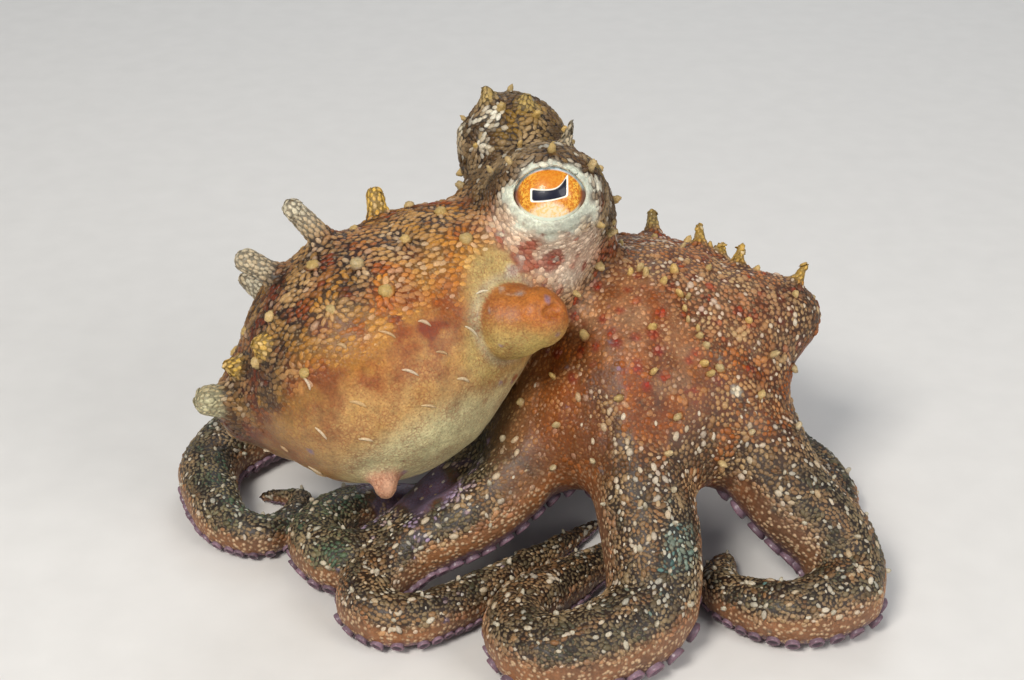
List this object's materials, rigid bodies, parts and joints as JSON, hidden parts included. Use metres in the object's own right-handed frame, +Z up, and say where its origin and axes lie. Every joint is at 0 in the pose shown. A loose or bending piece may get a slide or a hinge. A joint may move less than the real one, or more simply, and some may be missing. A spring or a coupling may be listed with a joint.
{
  "type": "octopus model",
  "caption": "Life-size still model of a small common octopus at rest, with a raised head, a rounded mantle held to one side and arms curled along the floor.",
  "frame": {"origin": "on the floor, under the middle of the whole animal", "axes": "+Z up; +X from the mantle's tip towards the right-hand arms; -Y towards the front arm and the eye shown"},
  "size_m": [0.1528, 0.1426, 0.0936],
  "materials": {
    "skin": "moist satin skin, orange-brown with pale tubercles and papillae",
    "eye": "wet gloss, orange iris with a dark slit pupil"
  },
  "bodies": {
    "root": {"mantle": "skin", "head": "skin", "siphon": "skin", "crown": "skin", "eye_near": "eye", "eye_far": "eye", "arm_front_root": "skin", "arm_front_upper": "skin", "arm_front_bend": "skin", "arm_front_tip": "skin", "arm_front_left_root": "skin", "arm_front_left_upper": "skin", "arm_front_left_bend": "skin", "arm_front_left_tip": "skin", "arm_left_root": "skin", "arm_left_upper": "skin", "arm_left_bend": "skin", "arm_left_tip": "skin", "arm_back_left_root": "skin", "arm_back_left_upper": "skin", "arm_back_left_bend": "skin", "arm_back_left_tip": "skin", "arm_back_root": "skin", "arm_back_upper": "skin", "arm_back_bend": "skin", "arm_back_tip": "skin", "arm_back_right_root": "skin", "arm_back_right_upper": "skin", "arm_back_right_bend": "skin", "arm_back_right_tip": "skin", "arm_right_root": "skin", "arm_right_upper": "skin", "arm_right_bend": "skin", "arm_right_tip": "skin", "arm_front_right_root": "skin", "arm_front_right_upper": "skin", "arm_front_right_bend": "skin", "arm_front_right_tip": "skin"}
  },
  "joints": []
}
